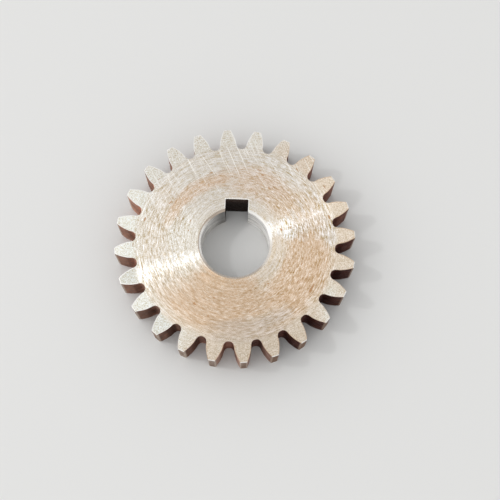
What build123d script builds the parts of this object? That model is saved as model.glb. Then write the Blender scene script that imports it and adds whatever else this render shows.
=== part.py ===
from build123d import *

import math
import os

# A quick change gear: one piece of steel with straight involute teeth, a plain bore and one keyway.
# The origin is where the bore's axis meets the lower face. +Z runs along the bore, and +Y points from
# the axis to the middle of the keyway. Lengths are in millimetres and angles in degrees.

# Teeth
tooth_count = 24
module = 2.0
pressure_angle = 20.0
addendum_in_modules = 1.0
dedendum_in_modules = 1.25
hob_corner_radius_in_modules = 0.38
tooth_thinning = 0.05

# Blank
face_width = 9.0
bore_diameter = 15.0
bore_chamfer = 0.5
rim_chamfer = 0.15

# Keyway, with its floor measured across the bore from the wall opposite. Seen from above, the middle
# of the nearest tooth space lies this angle clockwise of the keyway's.
keyway_width = 5.0
floor_to_far_wall = 17.3
keyway_corner_radius = 0.2
tooth_space_lag = 1.3

# Circles of the gear
pitch_radius = module * tooth_count / 2
tip_radius = pitch_radius + addendum_in_modules * module
dedendum = dedendum_in_modules * module
root_radius = pitch_radius - dedendum
bore_radius = bore_diameter / 2
slope = math.radians(pressure_angle)
base_radius = pitch_radius * math.cos(slope)

# The hob's tooth, as a straight-sided rack whose rounded corners leave the root fillets.
# The corner's centre is placed from the pitch line and from the middle of the hob's tooth.
rack_half_width = math.pi * module / 4 + tooth_thinning / 2
rack_half_tip = rack_half_width - dedendum * math.tan(slope)
full_round_radius = rack_half_tip * math.cos(slope) / (1 - math.sin(slope))
widest_corner_share = 0.95
corner_radius = min(hob_corner_radius_in_modules * module, widest_corner_share * full_round_radius)
corner_depth = dedendum - corner_radius
corner_offset = rack_half_width - corner_depth * math.tan(slope) - corner_radius / math.cos(slope)

# The cutter for a tooth space stands past the blank by this much. Its root fillet is a chain of arcs
# and its flank is a spline, both through points of the exact curve.
cutter_overrun = module / 2
arcs_per_fillet = 3
points_per_flank = 7


def on_gear(contact, travel):
    """The gear's own point that touches the rack at a contact, given from the pitch point."""
    return (contact + Vector(0, pitch_radius)).rotate(Axis.Z, math.degrees(travel / pitch_radius))


def flank_point(travel):
    """Where the rack's straight side cuts the flank, which makes it an involute."""
    reach = (travel + rack_half_width) * math.cos(slope)
    return on_gear(Vector(reach * math.cos(slope), -reach * math.sin(slope)), travel)


def fillet_point(travel):
    """Where the rack's rounded corner cuts the root, which makes it a trochoid."""
    centre = Vector(travel + corner_offset, -corner_depth)
    return on_gear(centre * (1 + corner_radius / centre.length), travel)


def travel_at_radius(radius):
    """Rack travel at which the straight side cuts the flank at a radius."""
    reach = pitch_radius * math.sin(slope) - math.sqrt(radius**2 - base_radius**2)
    return reach / math.cos(slope) - rack_half_width


def points_on(point_at, first_travel, last_travel, count):
    """Points of an exact curve, evenly spaced in the rack's travel."""
    step = (last_travel - first_travel) / (count - 1)
    return [point_at(first_travel + index * step) for index in range(count)]


def arcs_through(points):
    """A chain of arcs, each through a point, the next one and the one after it."""
    return [ThreePointArc(*points[first : first + 3]) for first in range(0, len(points) - 1, 2)]


def tooth_space():
    """The prism that the hob takes out between two teeth, about +Y."""
    outer_radius = tip_radius + cutter_overrun
    join_travel = corner_depth / math.tan(slope) - corner_offset
    outer_travel = travel_at_radius(outer_radius)
    fillet_points = points_on(fillet_point, -corner_offset, join_travel, 2 * arcs_per_fillet + 1)
    flank_curve = Spline(points_on(flank_point, join_travel, outer_travel, points_per_flank))
    right_side = [*arcs_through(fillet_points), flank_curve]
    left_side = [mirror(curve, Plane.YZ) for curve in right_side]
    root_land = ThreePointArc(left_side[0] @ 0, (0, root_radius), right_side[0] @ 0)
    outer_arc = ThreePointArc(left_side[-1] @ 1, (0, outer_radius), flank_curve @ 1)
    outline = make_face([root_land, *right_side, outer_arc, *left_side])
    return extrude(outline, face_width)


def turned_blank():
    """The bored disc with its broken edges."""
    disc = extrude(Circle(tip_radius) - Circle(bore_radius), face_width)
    rings = disc.edges().filter_by(GeomType.CIRCLE).group_by(SortBy.RADIUS)
    disc = chamfer(rings[0], bore_chamfer)
    rings = disc.edges().filter_by(GeomType.CIRCLE).group_by(SortBy.RADIUS)
    return chamfer(rings[-1], rim_chamfer)


def keyway():
    """The broached slot, from the axis to its floor."""
    floor_height = floor_to_far_wall - bore_radius
    slot = Rectangle(keyway_width, floor_height, align=(Align.CENTER, Align.MIN))
    slot = fillet(slot.vertices().group_by(Axis.Y)[-1], keyway_corner_radius)
    return extrude(slot, face_width)


def change_gear():
    """The whole gear: turned, then hobbed, then broached."""
    spaces = PolarLocations(0, tooth_count, start_angle=-tooth_space_lag) * tooth_space()
    return turned_blank() - spaces - keyway()


os.makedirs("parts", exist_ok=True)
export_step(change_gear(), "parts/change_gear.step")
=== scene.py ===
# %% [markdown]
# # A quick change gear
# The object is one steel gear that lies flat. Its solid comes from the CAD model, so this lesson
# doesn't model the gear. It sets the camera and the light, and then gives the steel its finish:
# turned faces with a tan stain, brown oxidised tooth walls, a bright bore and a dark keyway.
# Everything is in metres, in the CAD model's own frame, so nothing has to be moved or scaled.

# %% Load the gear
import math

import bpy
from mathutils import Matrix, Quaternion, Vector


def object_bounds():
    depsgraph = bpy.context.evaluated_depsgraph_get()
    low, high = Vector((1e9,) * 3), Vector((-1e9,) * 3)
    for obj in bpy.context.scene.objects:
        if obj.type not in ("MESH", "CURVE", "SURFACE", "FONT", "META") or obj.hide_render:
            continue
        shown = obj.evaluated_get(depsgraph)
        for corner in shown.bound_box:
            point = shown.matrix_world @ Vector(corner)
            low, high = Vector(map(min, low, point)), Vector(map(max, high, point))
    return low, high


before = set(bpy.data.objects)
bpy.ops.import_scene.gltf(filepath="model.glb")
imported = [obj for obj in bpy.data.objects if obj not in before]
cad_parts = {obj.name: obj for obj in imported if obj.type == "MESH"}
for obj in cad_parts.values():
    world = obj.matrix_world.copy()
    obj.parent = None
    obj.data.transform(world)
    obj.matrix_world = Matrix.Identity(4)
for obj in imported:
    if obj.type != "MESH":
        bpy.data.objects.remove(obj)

cad_low, cad_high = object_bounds()
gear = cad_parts["change_gear"]
scene = bpy.context.scene
scene.view_settings.view_transform = "Standard"
mm_per_metre = 1000
gear_size = [round(mm_per_metre * side, 2) for side in cad_high - cad_low]
print("gear:", len(gear.data.polygons), "faces,", gear_size, "mm")

# %% [markdown]
# ## The camera
# The photograph was taken by hand from above, a little from the front, so that the lower tooth walls
# show. A camera can be turned by three angles, but it is easier to place by the point it stands at and
# the point it looks at. What is left is the roll, because the camera was held slightly turned.

# %% Camera
camera_stand = Vector((0.00282, -0.05335, 0.20498))
camera_aim = Vector((0.00323, -0.00154, 0.009))
camera_roll = math.radians(2.57)

camera = bpy.data.objects.new("camera", bpy.data.cameras.new("camera"))
scene.collection.objects.link(camera)
camera.data.sensor_width = 36
camera.data.lens = 67.9
camera.data.clip_start = 0.01
camera.location = camera_stand
camera.rotation_mode = "QUATERNION"
looking = (camera_aim - camera_stand).to_track_quat("-Z", "Y")
camera.rotation_quaternion = looking @ Quaternion((0, 0, 1), camera_roll)
scene.camera = camera
print("camera:", round((camera_aim - camera_stand).length * mm_per_metre), "mm from the upper face")

# %% [markdown]
# ## Writing shader maths
# A material is a graph of nodes, and a graph is hard to read when each node and each link takes a line
# of its own. This small class wraps one output socket, so that sums and products of sockets read like
# plain arithmetic, and it makes every other node with one method.

# %% A socket that can be added and multiplied
class Shade:
    """One output socket of a node tree, which arithmetic turns into Math nodes."""

    def __init__(self, tree, socket=None):
        self.tree = tree
        self.socket = socket

    def node(self, kind, inputs=None, output=0, **settings):
        """Adds a node, sets its settings first and its inputs next, and returns one output."""
        node = self.tree.nodes.new(kind)
        for name, value in settings.items():
            setattr(node, name, value)
        for name, value in (inputs or {}).items():
            if isinstance(value, Shade):
                self.tree.links.new(value.socket, node.inputs[name])
            else:
                node.inputs[name].default_value = value
        return Shade(self.tree, node.outputs[output])

    def maths(self, operation, first, second):
        return self.node("ShaderNodeMath", {0: first, 1: second}, operation=operation)

    def __add__(self, other):
        return self.maths("ADD", self, other)

    def __radd__(self, other):
        return self.maths("ADD", other, self)

    def __sub__(self, other):
        return self.maths("SUBTRACT", self, other)

    def __rsub__(self, other):
        return self.maths("SUBTRACT", other, self)

    def __mul__(self, other):
        return self.maths("MULTIPLY", self, other)

    def __rmul__(self, other):
        return self.maths("MULTIPLY", other, self)

    def __truediv__(self, other):
        return self.maths("DIVIDE", self, other)

    def __pow__(self, other):
        return self.maths("POWER", self, other)

    def __abs__(self):
        return self.maths("ABSOLUTE", self, 0.0)

    def at_most(self, other):
        return self.maths("MINIMUM", self, other)

    def at_least(self, other):
        return self.maths("MAXIMUM", self, other)

    def clamped(self):
        """This number, kept between 0 and 1."""
        return self.at_least(0.0).at_most(1.0)

    def above(self, start, end):
        """0 below start and 1 above end, with a soft step between them. Start may be the larger."""
        ends = {"Value": self, "From Min": start, "From Max": end}
        return self.node("ShaderNodeMapRange", ends, interpolation_type="SMOOTHSTEP")

    def vector_maths(self, operation, inputs, output="Vector"):
        return self.node("ShaderNodeVectorMath", {0: self, **inputs}, output, operation=operation)

    def scaled(self, factor):
        """This vector or colour times one number."""
        return self.vector_maths("SCALE", {"Scale": factor})

    def tinted(self, factors):
        """This colour times another, channel by channel."""
        return self.vector_maths("MULTIPLY", {1: factors})

    def plus(self, other):
        """This vector plus another."""
        return self.vector_maths("ADD", {1: other})

    def along(self, heading):
        """How far this vector reaches along a heading."""
        return self.vector_maths("DOT_PRODUCT", {1: heading}, "Value")

    def length(self):
        return self.vector_maths("LENGTH", {}, "Value")

    def normalized(self):
        """This vector's direction, 1 long."""
        return self.vector_maths("NORMALIZE", {})

    def parts(self):
        """The three numbers of this vector."""
        return [self.node("ShaderNodeSeparateXYZ", {0: self}, axis) for axis in range(3)]

    def vector(self, x, y, z):
        return self.node("ShaderNodeCombineXYZ", {0: x, 1: y, 2: z})

    def noise(self, detail=2.0, roughness=0.5):
        """Soft noise about 0, from about -1 to 1, read at this vector."""
        inputs = {"Vector": self, "Scale": 1.0, "Detail": detail, "Roughness": roughness}
        return (self.node("ShaderNodeTexNoise", inputs) - 0.5) * 3.0

    def blend(self, share, first, second):
        """The first colour where the share is 0 and the second where it is 1."""
        return self.node("ShaderNodeMix", {0: share, 6: first, 7: second}, 2, data_type="RGBA")


def new_material(name):
    """A material with nodes, its principled shader, and a first Shade to build with."""
    material = bpy.data.materials.new(name)
    material.use_nodes = True
    shader = material.node_tree.nodes["Principled BSDF"]
    return material, shader, Shade(material.node_tree)


print("helpers: Shade and new_material")

# %% [markdown]
# ## The floor
# The floor takes the gear's shadow, which shows how thick the gear is, and it throws light back onto
# the lower ends of the tooth walls. One plane is enough. It is pale, so that it keeps the colours of
# the steel true, and dull, so that it doesn't mirror the gear.

# %% Floor
bpy.ops.object.select_all(action="DESELECT")
floor_size = 3.0
bpy.ops.mesh.primitive_plane_add(size=floor_size)
floor = bpy.context.object
floor.name = "floor"
floor_paint, floor_shader, _ = new_material("floor_paint")
floor_shader.inputs["Base Color"].default_value = (0.74, 0.74, 0.73, 1)
floor_shader.inputs["Roughness"].default_value = 0.7
floor_shader.inputs["Specular IOR Level"].default_value = 0.2
floor.data.materials.append(floor_paint)
print("floor:", floor_size, "m wide")

# %% [markdown]
# ## The room
# Bare steel shows what stands round it, so even a plain studio needs a side that is brighter. Large
# lamps could make that side. Here the world does it with one sum: the nearer a direction comes to the
# window's, the more light comes from it, and the rest of the room is even.

# %% Room
room = bpy.data.worlds.new("room")
room.use_nodes = True
scene.world = room
room_light = Shade(room.node_tree)
direction = room_light.node("ShaderNodeTexCoord", output="Generated")
window_heading = Vector((-0.66, 0.08, 0.75)).normalized()
window_edge = math.cos(math.radians(56))
even_light, side_light, window_light = 0.71, 0.06, 0.74
towards_window = direction.along(window_heading)
brightness = even_light + side_light * towards_window
brightness = brightness + window_light * towards_window.above(window_edge, 1.0)
room_shader = room.node_tree.nodes["Background"]
room.node_tree.links.new(brightness.socket, room_shader.inputs["Strength"])
room_shader.inputs["Color"].default_value = (1.0, 1.0, 1.0, 1)
brightest = round(even_light + side_light + window_light, 2)
print("room:", even_light, "bright across the window's direction and", brightest, "in it")

# %% [markdown]
# ## The lamp
# Turned steel answers a small lamp with two bright rays across its face, and they point at the lamp. So
# the rays of the photograph tell where the lamp has to be, and how thin they are tells its width.

# %% Lamp
lamp_heading = Vector((-0.594, 0.022, 0.80)).normalized()
lamp_distance = 0.6
lamp = bpy.data.objects.new("lamp", bpy.data.lights.new("lamp", "AREA"))
scene.collection.objects.link(lamp)
lamp.data.shape = "DISK"
lamp.data.size = 0.028
lamp.data.energy = 0.33
lamp.location = lamp_heading * lamp_distance
lamp.rotation_euler = (-lamp_heading).to_track_quat("-Z", "Y").to_euler()
print("lamp:", round(math.degrees(math.asin(lamp_heading.z))), "degrees above the floor")

# %% [markdown]
# ## Where each finish is
# The gear is one piece, but its surfaces were made in different ways: the faces and the bore were
# turned, the teeth were hobbed and the keyway was broached. A finish can be given to faces by hand, or
# a mask can be worked out from where a point lies. Masks suit a round part, because its radius and
# height tell the surfaces apart, and they stay soft at the edges. Lengths in the material are in
# millimetres.

# %% Places on the gear
steel, steel_shader, paint = new_material("change_gear_steel")
place = paint.node("ShaderNodeTexCoord", output="Object").scaled(mm_per_metre)
x, y, z = place.parts()
radius = paint.vector(x, y, 0.0).length()
outward = paint.vector(x, y, 0.0).normalized()
heading_x, heading_y, _ = outward.parts()
normal = paint.node("ShaderNodeNewGeometry", output="Normal")


def tell(made):
    """Prints what a cell made, and how large the steel's graph is by then."""
    print(made + ":", len(steel.node_tree.nodes), "nodes so far")


tell("places")

# %% [markdown]
# ## Masks for the surfaces
# The upright part of the normal is 1 on the faces, about 0.7 on the chamfers and 0 on the walls. The
# radius then tells the walls apart: the bore has the smallest, the keyway is a little further out, and
# the tooth tips have the largest.

# %% Masks for the surfaces
mid_height = 4.5
bore_edge = 7.5
root_circle = 21.5
tip_circle = 26.0
bore_end, keyway_start = bore_edge + 0.04, bore_edge + 0.10
keyway_end, past_keyway = 12.0, 13.0

upright = abs(normal.parts()[2])
on_face = upright.above(0.8, 0.95)
on_wall = upright.above(0.5, 0.3)
on_chamfer = (1 - on_face) * (1 - on_wall)
in_bore = on_wall * radius.above(keyway_start, bore_end)
in_keyway = on_wall * radius.above(bore_end, keyway_start) * radius.above(past_keyway, keyway_end)
on_tip = on_wall * radius.above(tip_circle - 0.4, tip_circle - 0.2)
tell("masks")

# %% [markdown]
# ## Patterns that follow the lathe
# A lathe leaves marks that run round the axis. Noise read at a point's heading and radius, in place of
# its x and y, is drawn out along the circles: the heading is stretched a little and the radius a lot.
# Several such patterns of different length and width together look like a turned face.

# %% Turned patterns
def around(turns, per_mm, shift):
    """A place for noise that runs round the axis. A large number makes short or narrow marks."""
    return paint.vector(heading_x * turns, heading_y * turns, radius * per_mm + shift)


fine_marks = around(5, 1.7, z * 1.7).noise(3, 0.6)
broad_marks = around(3, 0.9, z * 0.9).noise(2)
strokes = around(8, 4.4, z * 4.4).noise(1, 0.6)
dashes = around(17, 3.9, 20 + z).noise(1)
ripples = around(9, 3.0, 40 + z).noise(1)
rings = around(0.8, 2.6, 60 + z).noise(2, 0.7) * (0.40 + 0.80 * radius.above(15.0, 9.0))
tell("turned patterns")

# %% [markdown]
# ## Patterns without a direction
# Handling and damp leave spots of every size with no direction. They are plain noise at different
# scales, and the hob's marks are plain noise drawn out along the teeth. The mask of the tooth faces is
# here as well, because its inner edge wanders with the broad marks.

# %% Plain patterns
speckle = place.scaled(3.8).noise(1, 0.6)
mottle = place.scaled(1.1).noise(3, 0.65)
patches = place.scaled(0.45).noise(3, 0.6)
cloud = place.scaled(0.16).noise(3)
hob_marks = paint.vector(x * 1.7, y * 1.7, z * 0.35).noise(2, 0.6)
on_teeth = on_face * (radius + 0.5 * broad_marks).above(root_circle - 0.8, root_circle + 1.4)
tell("plain patterns")

# %% [markdown]
# ## The edges of the teeth
# A thin bright line runs along the edges of the teeth, where handling has rubbed them. To draw it, the
# material has to know how far a point is from the flank. The flank is an involute of a base circle, so
# the tooth's half angle at any radius follows from one formula. The cell holds that half angle at the
# pitch circle, in radians, and the heading of one tooth. Pingpong folds the angle round the gear into
# the angle from the middle of the nearest tooth.

# %% Distance to the flank
teeth = 24
pitch_circle = 24.0
pressure_angle = math.radians(20)
half_tooth_at_pitch = 0.0644
first_tooth = math.radians(96.2)
edge_width = 0.22

base_circle = pitch_circle * math.cos(pressure_angle)
half_tooth_at_base = half_tooth_at_pitch + math.tan(pressure_angle) - pressure_angle
tangent = ((radius / base_circle) ** 2 - 1).at_least(0.0) ** 0.5
involute = tangent - paint.maths("ARCTANGENT", tangent, 0.0)
bearing = paint.maths("ARCTAN2", y, x)
from_tooth = paint.maths("PINGPONG", bearing - first_tooth + math.tau, math.pi / teeth)
to_flank = (half_tooth_at_base - involute - from_tooth) * radius
at_edge = on_teeth * to_flank.above(edge_width, 0.08)
at_edge = at_edge * radius.above(root_circle + 0.6, root_circle + 1.2)
tell("tooth edges")

# %% [markdown]
# ## Arcs and rings
# Stain and wear, and painted light and shade, lie on one side of the gear or the other, and at one
# distance from the bore or another.
# An arc is a mask about a heading, and a ring is a mask between two radii. Their edges wander with the
# noise, as those of a real stain do, except where an arc picks out single teeth. The underside doesn't
# show in the photograph. It gets the same finish, turned by half a turn so that it isn't a copy.

# %% Arcs and rings
underside = on_face * z.above(mid_height + 0.1, mid_height - 0.1)
straight = outward.scaled(1 - 2 * underside)
wandering = straight.plus(paint.vector(cloud * 0.10, broad_marks * 0.06, 0.0))
drifting = radius + broad_marks * 0.9 + cloud * 0.8


def unit(heading):
    angle = math.radians(heading)
    return (math.cos(angle), math.sin(angle), 0.0)


def arc(heading, reach, softness, path=wandering):
    """1 near a heading and 0 beyond its reach, in degrees. Headings turn from +X towards +Y."""
    near = math.cos(math.radians(reach - softness))
    far = math.cos(math.radians(reach + softness))
    return path.along(unit(heading)).above(far, near)


def ring(inner_start, inner_end, outer_start, outer_end):
    """1 between two radii, in millimetres, each with a soft edge."""
    return drifting.above(inner_start, inner_end) * drifting.above(outer_end, outer_start)


def patch(depth, arc_sizes, ring_sizes):
    """A piece of a ring: its depth of colour, then the numbers of its arc and of its ring."""
    return depth * arc(*arc_sizes) * ring(*ring_sizes)


def lighter(*arcs, path=wandering):
    """How much lighter some arcs are. Each has its own share last, which is negative where darker."""
    return sum(share * arc(*sizes, path) for *sizes, share in arcs)


tell("arcs and rings")

# %% [markdown]
# ## The stain
# The face is clean metal on the left, and elsewhere a thin tan stain lies in a broad ring round the
# bore. One mask can't follow it, but a few soft patches can. Where the lamp's right ray falls, a wedge
# takes the stain out, and paler steel painted there makes a painted highlight. The turned marks break
# the stain up, because it holds in the grooves.

# %% Stain
lower = patch(1.00, (260, 38, 11), (6.5, 8.0, 18.3, 22.0))
right = patch(0.95, (337, 54, 19), (9.7, 12.9, 19.0, 23.0))
upper_right = patch(0.66, (47, 45, 18), (9.0, 12.5, 15.5, 19.5))
upper_left = patch(0.75, (127, 34, 12), (12.6, 14.1, 15.5, 17.1))
left = patch(0.22, (182, 40, 12), (13.0, 16.0, 18.5, 22.0))
deeper_band = patch(0.16, (324, 28, 10), (14.2, 15.8, 17.8, 19.5))
cleaner_patch = patch(0.50, (294, 14, 6), (15.5, 17.0, 19.0, 20.5))
# A wedge along the lamp's right ray: the stain is taken out there, and paler steel is painted in as a
# highlight.
painted_ray_wedge = arc(20, 14, 8) * (0.45 + 0.55 * radius.above(16.0, 9.0))

stain = lower.at_least(right).at_least(upper_right).at_least(upper_left)
stain = (stain + left + deeper_band - cleaner_patch) * (1 - 0.8 * painted_ray_wedge)
stain_grain = 0.84 + 0.22 * fine_marks - 0.22 * strokes - 0.35 * dashes - 0.15 * speckle
stain = (stain * stain_grain).clamped()

streak_places = patch(1.0, (75, 75, 25), (12.0, 14.0, 16.0, 19.0))
streaks = around(2.4, 1.9, 90 + z).noise(2).above(0.22, 0.60) * streak_places
tell("stain")

# %% [markdown]
# ## Scratches and pits
# Straight scratches cross the upper part of the face, all about the same way, and a few brown pits lie
# in the surface. A scratch is noise that is drawn out very far along one heading, of which only the
# peaks are kept. A pit is the peak of small round noise.

# %% Scratches and pits
def scratches(heading, per_mm, seed, start):
    """Thin straight lines along a heading, where the noise peaks above a start."""
    along = place.along(unit(heading)) * 0.075
    across = place.along(unit(heading + 90)) * per_mm
    return paint.vector(along, across, seed).noise(0).above(start, start + 0.16)


upper_part = place.along(unit(107)).above(7.5, 15.0)
scratched = scratches(114, 3.6, 5.0, 0.66) + scratches(119, 4.6, 12.0, 0.66)
scratched = scratched + 0.7 * scratches(126, 4.4, 31.0, 0.70) + 0.16 * scratches(117, 4.0, 44.0, 0.30)
scratched = (scratched * (0.12 + 0.88 * upper_part) * on_face).at_most(1.0)
pits = around(11, 1.7, 80 + z).noise(0).above(0.90, 1.0) * on_face
tell("scratches and pits")

# %% [markdown]
# ## The colour of the turned faces
# All the finishes meet in one principled shader, because its sockets can take a mixture of numbers and
# colours. Each finish is laid over the one before it by its mask, as paint is. On the face that is warm
# steel towards the lower right, the tan stain, brown streaks above the bore, paler steel painted as a
# highlight in the right ray's wedge, greyer steel painted along the left ray to whiten its highlight,
# and a greyer band at the bottom.

# %% Face colour
def laid_over(base, *layers):
    """A colour with layers laid over it in turn, each given by its share and its own colour."""
    for share, layer in layers:
        base = paint.blend(share, base, layer)
    return base


clean_steel = (0.72, 0.675, 0.595, 1)
warm_steel = (0.74, 0.645, 0.53, 1)
painted_left_ray_grey = (0.73, 0.72, 0.69, 1)
tan_stain = (0.66, 0.475, 0.32, 1)
streak_brown = (0.50, 0.32, 0.19, 1)
band_grey = (0.56, 0.47, 0.385, 1)
# Paler steel painted as a highlight in the right ray's wedge, palest near the bore.
painted_ray_steel = paint.blend(radius.above(14.5, 10.0), (0.71, 0.70, 0.67, 1), (0.96, 0.95, 0.93, 1))

face = laid_over(
    clean_steel,
    (arc(308, 94, 26) * (1 - 0.8 * painted_ray_wedge), warm_steel),
    (stain, tan_stain),
    (0.55 * streaks, streak_brown),
    (0.8 * painted_ray_wedge, painted_ray_steel),
    # Greyer steel painted along the lamp's left ray, which whitens its highlight.
    (0.5 * arc(200, 5, 3, straight), painted_left_ray_grey),
    (patch(0.7, (283, 24, 10), (16.5, 18.0, 21.5, 23.0)), band_grey),
)
tell("face colour")

# %% [markdown]
# ## Painted light and shade, and grain, on the turned faces
# The colour still needs painted shade on the upper side, painted light and shade at places that look
# darker or lighter in the photograph, and the grain of the turned marks. What lies in the grooves is a
# warm brown, so the grain changes blue the most and red the least. It is coarser on the right, and
# weaker close to the bore.

# %% Face grain
def toned(colour, mask, red, green, blue):
    """A colour whose channels change with a mask, each by its own share."""
    return colour.tinted(paint.vector(1 + red * mask, 1 + green * mask, 1 + blue * mask))


# Painted shade on the upper side of the face and of the teeth.
upper_painted_shade = arc(98, 46, 22)
left_side = arc(148, 55, 25)
coarse_side = arc(5, 70, 30).at_least(0.6 * arc(184, 34, 16))

# Painted shade at the outer edge at the bottom and along the left ray, and painted light and shade
# beside the bore.
face_painted_light = 1 - 0.06 * arc(264, 40, 13) * radius.above(19.5, 16.5)
face_painted_light = face_painted_light - patch(0.07, (203, 9, 4), (12.0, 13.5, 17.5, 19.0))
face_painted_light = face_painted_light + radius.above(11.5, 10.0) * lighter((242, 12, 6, 0.07), (322, 16, 8, -0.09))

grain = 0.07 * fine_marks + 0.23 * strokes + 0.32 * dashes + (0.13 + 0.14 * left_side) * speckle
grain_strength = 0.77 + 0.14 * left_side + 0.72 * coarse_side + 0.8 * painted_ray_wedge
grain = grain * grain_strength * (0.5 + 0.5 * radius.above(8.5, 12.5)) + 0.20 * rings

face = toned(face, upper_painted_shade, -0.055, -0.07, -0.065)
face = toned(face.scaled(face_painted_light), grain, 0.8, 1.0, 1.4)
tell("face grain")

# %% [markdown]
# ## The tooth faces
# The faces of the teeth are duller and paler than the disc, and mottled. They are tan at the lower
# right and on the right. Painted shade darkens the teeth that lie in the lamp's two rays, against the
# highlight there, and the teeth on the upper side; painted light and shade make some other teeth darker
# and a few lighter. A straight arc picks single teeth out, because a wandering one would leave its edge
# on the next tooth. The scratches and the pits cross the teeth and the disc alike, so they are laid
# over both.

# %% Tooth face colour
warm_tooth_side = arc(285, 38, 14).at_least(arc(20, 44, 18))
clean_tooth, warm_tooth = (0.87, 0.865, 0.79, 1), (0.78, 0.665, 0.53, 1)
scratch_white, pit_brown = (1.0, 0.98, 0.93, 1), (0.44, 0.23, 0.10, 1)

# Painted shade on the teeth in the lamp's two rays, and painted light and shade on some others.
tooth_painted_light = 1 + lighter((199, 7, 3, -0.26), (18, 7, 3, -0.11), (228, 7, 3, -0.07), path=straight)
tooth_painted_light = tooth_painted_light + lighter((288, 22, 12, -0.09), (165, 12, 6, 0.06))
tooth_grain = 0.12 * mottle + 0.42 * speckle + 0.12 * dashes

tooth_face = paint.blend((warm_tooth_side + 0.3 * mottle).clamped(), clean_tooth, warm_tooth)
tooth_face = toned(tooth_face.scaled(tooth_painted_light), upper_painted_shade, -0.09, -0.13, -0.15)
tooth_face = toned(tooth_face, tooth_grain, 0.8, 1.0, 1.4)
face = laid_over(
    face,
    (on_teeth, tooth_face),
    (0.85 * scratched, scratch_white),
    (0.8 * pits, pit_brown),
)
tell("tooth faces")

# %% [markdown]
# ## The tooth walls
# The walls of the teeth carry a brown oxide. Painted light makes it lighter on the left, painted shade
# makes it almost black at the lower right, and it is rubbed to a paler brown at the bottom. Noise of
# four scales makes it blotchy, with redder rust in the patches. Painted light and shade make the walls
# of some teeth lighter and others darker. The teeth beside it shade a root more here than in the
# photograph, so the oxide is made lighter near the roots, except on some teeth.

# %% Wall colour
brown_oxide = (0.158, 0.074, 0.055, 1)
painted_lit_oxide = (0.31, 0.168, 0.122, 1)
painted_shaded_oxide = (0.064, 0.021, 0.016, 1)
rubbed_oxide = (0.43, 0.265, 0.21, 1)
rust_brown = (0.23, 0.10, 0.055, 1)
rust = (patches.above(-0.1, 0.7) * (0.5 + 0.5 * mottle)).at_least(0.0)

# Painted light makes the oxide paler on the left, and painted shade makes it almost black at the lower
# right.
oxide = laid_over(
    brown_oxide,
    (arc(170, 75, 35), painted_lit_oxide),
    (arc(328, 46, 24), painted_shaded_oxide),
    (0.85 * arc(273, 16, 7) * radius.above(21.6, 23.6), rubbed_oxide),
    (0.45 * rust, rust_brown),
)
near_root = radius.above(23.8, 22.0)
# Painted light and shade on the walls of some teeth, by their heading.
wall_painted_light = lighter((28, 24, 10, 0.55), (162, 13, 6, 0.45), (230, 17, 9, -0.35), (140, 8, 4, -0.40))
root_light = 0.62 + lighter((240, 18, 8, -0.60), (291, 10, 6, -0.75), (324, 14, 8, -0.45))
oxide = oxide.scaled(0.93 + 0.45 * mottle + 0.38 * patches + 0.10 * hob_marks + 0.38 * speckle)
oxide = oxide.scaled((1 + wall_painted_light) * (1 + root_light * near_root))
tell("tooth walls")

# %% [markdown]
# ## The tooth tips
# The tips are the turned outside of the blank, so their fine lines run round the gear, and they are
# rubbed to a greyer steel. The corners between tip and flank are rubbed brightest, and painted shade
# dims them at the lower right. Noise read at a point's heading and height draws such lines on any wall
# round the axis, and the bore uses it too.

# %% Tip colour
def wall_lines(scale):
    """Fine uneven lines on a wall that stands round the axis."""
    return paint.vector(heading_x * scale, heading_y * scale, z * scale).noise(3, 0.7)


tip_brown, tip_grey = (0.19, 0.11, 0.078, 1), (0.46, 0.38, 0.32, 1)
lower_tip_brown, corner_steel = (0.20, 0.115, 0.075, 1), (0.66, 0.57, 0.49, 1)

tip_rubbed = (0.45 + 0.6 * wall_lines(6) + 0.5 * patches).clamped()
tip_colour = laid_over(tip_brown, (tip_rubbed, tip_grey), (0.8 * arc(314, 34, 12), lower_tip_brown))
corner = on_wall * radius.above(tip_circle - 0.5, tip_circle - 0.2) * to_flank.above(edge_width, 0.06)
# Painted shade dims the bright corners at the lower right.
corner = corner * (0.45 + 0.5 * mottle) * (1 - 0.75 * arc(335, 46, 20))
tell("tooth tips")

# %% [markdown]
# ## The bore and the keyway
# The bore is bright turned steel. Painted highlights on the right and at the left, and painted shade
# between, make it catch the light more than the lamp alone would. The keyway was broached and carries
# a dark oxide, and painted shade makes it nearly black deep inside and a little lighter towards the
# upper face.

# %% Bore and keyway colours
# Painted highlights on the bore wall at the right and at the left, with painted shade between.
bore_painted_highlight = arc(32, 36, 22).at_least(0.75 * arc(165, 34, 18))
bore_lines_and_painted_light = (0.30 + 0.70 * bore_painted_highlight) * (1 + 0.9 * wall_lines(1.5))
bore_steel = paint.vector(0.95, 0.93, 0.90).scaled(bore_lines_and_painted_light)
# Dark oxide in the keyway, with painted shade that makes it nearly black deep inside.
keyway_oxide_and_shade = paint.blend(z.above(5.0, 9.5), (0.022, 0.015, 0.013, 1), (0.085, 0.055, 0.044, 1))
tell("bore and keyway")

# %% [markdown]
# ## Chamfers and rubbed edges
# Broken edges are rubbed bright by every hand that picks the gear up, and stain stays on them where the
# face beside them is stained. Three thin lines go with them: the rubbed edges of the teeth, a brown
# line beside the bore's left edge, and a bright line down both sides of the keyway.

# %% Edge colours
keyway_half_width, keyway_floor = 2.5, 9.8
rubbed_steel = (1.0, 0.98, 0.94, 1)
tooth_edge_steel, tooth_edge_tan = (1.0, 0.985, 0.95, 1), (0.66, 0.49, 0.34, 1)
chamfer_brown, line_brown = (0.42, 0.31, 0.21, 1), (0.42, 0.30, 0.21, 1)

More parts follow.
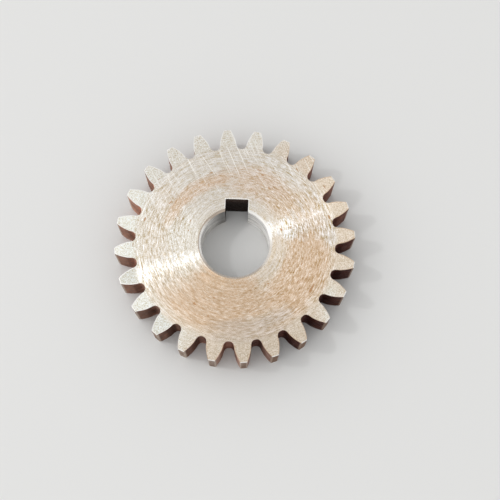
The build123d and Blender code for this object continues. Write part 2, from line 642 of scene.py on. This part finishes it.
chamfer_stain = (0.75 * arc(122, 22, 8)).at_least(0.6 * arc(268, 58, 12))
chamfer_stain = chamfer_stain.at_least(0.35 * arc(335, 30, 10)) * radius.above(12.0, 11.0)
chamfer_colour = paint.blend(chamfer_stain, rubbed_steel, chamfer_brown)
tooth_edge_colour = paint.blend(warm_tooth_side, tooth_edge_steel, tooth_edge_tan)
bore_line = arc(173, 34, 8) * radius.above(7.82, 7.92) * radius.above(8.16, 8.06)
keyway_line = on_face * (abs(x) - keyway_half_width).above(0.24, 0.10)
keyway_line = keyway_line * y.above(6.5, 7.5) * y.above(keyway_floor + 0.30, keyway_floor + 0.15)
tell("edges")

# %% [markdown]
# ## The colour of the whole gear
# Every surface now has its colour and its mask, so the whole gear is one more pile of layers. The thin
# lines come last, so that nothing covers them.

# %% Colour
colour = laid_over(
    face,
    (on_wall, oxide),
    (on_tip, tip_colour),
    (corner, corner_steel),
    (in_bore, bore_steel),
    (in_keyway, keyway_oxide_and_shade),
    (on_chamfer, chamfer_colour),
    (0.7 * bore_line, line_brown),
    (0.85 * at_edge, tooth_edge_colour),
    (0.7 * keyway_line, rubbed_steel),
)
tell("colour")

# %% [markdown]
# ## Gloss
# The turned face is the glossiest and the most metallic. Stain, chamfers, tooth faces and the bore are
# duller, and the oxide on the walls is rough. The masks that hold the colours set these numbers too,
# so that gloss and colour change at the same place.

# %% Gloss
oxidised = on_wall * (1 - in_bore)
metallic = 0.88 - 0.22 * oxidised - 0.25 * stain * on_face - 0.4 * (on_chamfer + on_teeth + in_bore)
roughness = 0.26 + (0.18 + 0.12 * mottle + 0.04 * speckle) * oxidised + 0.10 * in_bore
roughness = roughness + 0.04 * speckle * on_face + 0.21 * on_teeth
tell("gloss")

# %% [markdown]
# ## Grooves
# The tool's grooves are far too fine to model. A Bump node could raise them, but tilting the normal
# outwards and sideways by the turned patterns gives the same glitter, and the strength of each is one
# number. The oxide on the walls tilts the normal up and down.

# %% Grooves
turned = on_face * (1 - 0.7 * on_teeth)
radial_tilt = (fine_marks * 0.07 + strokes * 0.07 + rings * 0.09) * turned
sideways_tilt = (ripples * 0.035 + dashes * 0.03) * turned
upright_tilt = (mottle * 0.12 + speckle * 0.14) * oxidised
sideways = paint.vector(heading_y, -1 * heading_x, 0.0)
bent_normal = normal.plus(outward.scaled(radial_tilt)).plus(sideways.scaled(sideways_tilt))
bent_normal = bent_normal.plus(paint.vector(0.0, 0.0, upright_tilt)).normalized()
tell("grooves")

# %% [markdown]
# ## The steel
# Fine grooves that run round the axis spread a reflection across themselves, which is what draws the
# two rays. The principled shader does this with its anisotropy, and a quarter turn sets it across the
# circles. What isn't metal in the mixture has a colourless gloss of its own. That is kept low, because
# it greys the dark walls.

# %% Steel
for name, shade in {
    "Base Color": colour,
    "Metallic": metallic,
    "Roughness": roughness,
    "Normal": bent_normal,
}.items():
    steel.node_tree.links.new(shade.socket, steel_shader.inputs[name])
steel_shader.inputs["Anisotropic"].default_value = 1.0
steel_shader.inputs["Anisotropic Rotation"].default_value = 0.25
steel_shader.inputs["Specular IOR Level"].default_value = 0.04
for slot in gear.material_slots:
    slot.material = steel
print("steel:", len(steel.node_tree.nodes), "nodes on", len(gear.material_slots), "slot")
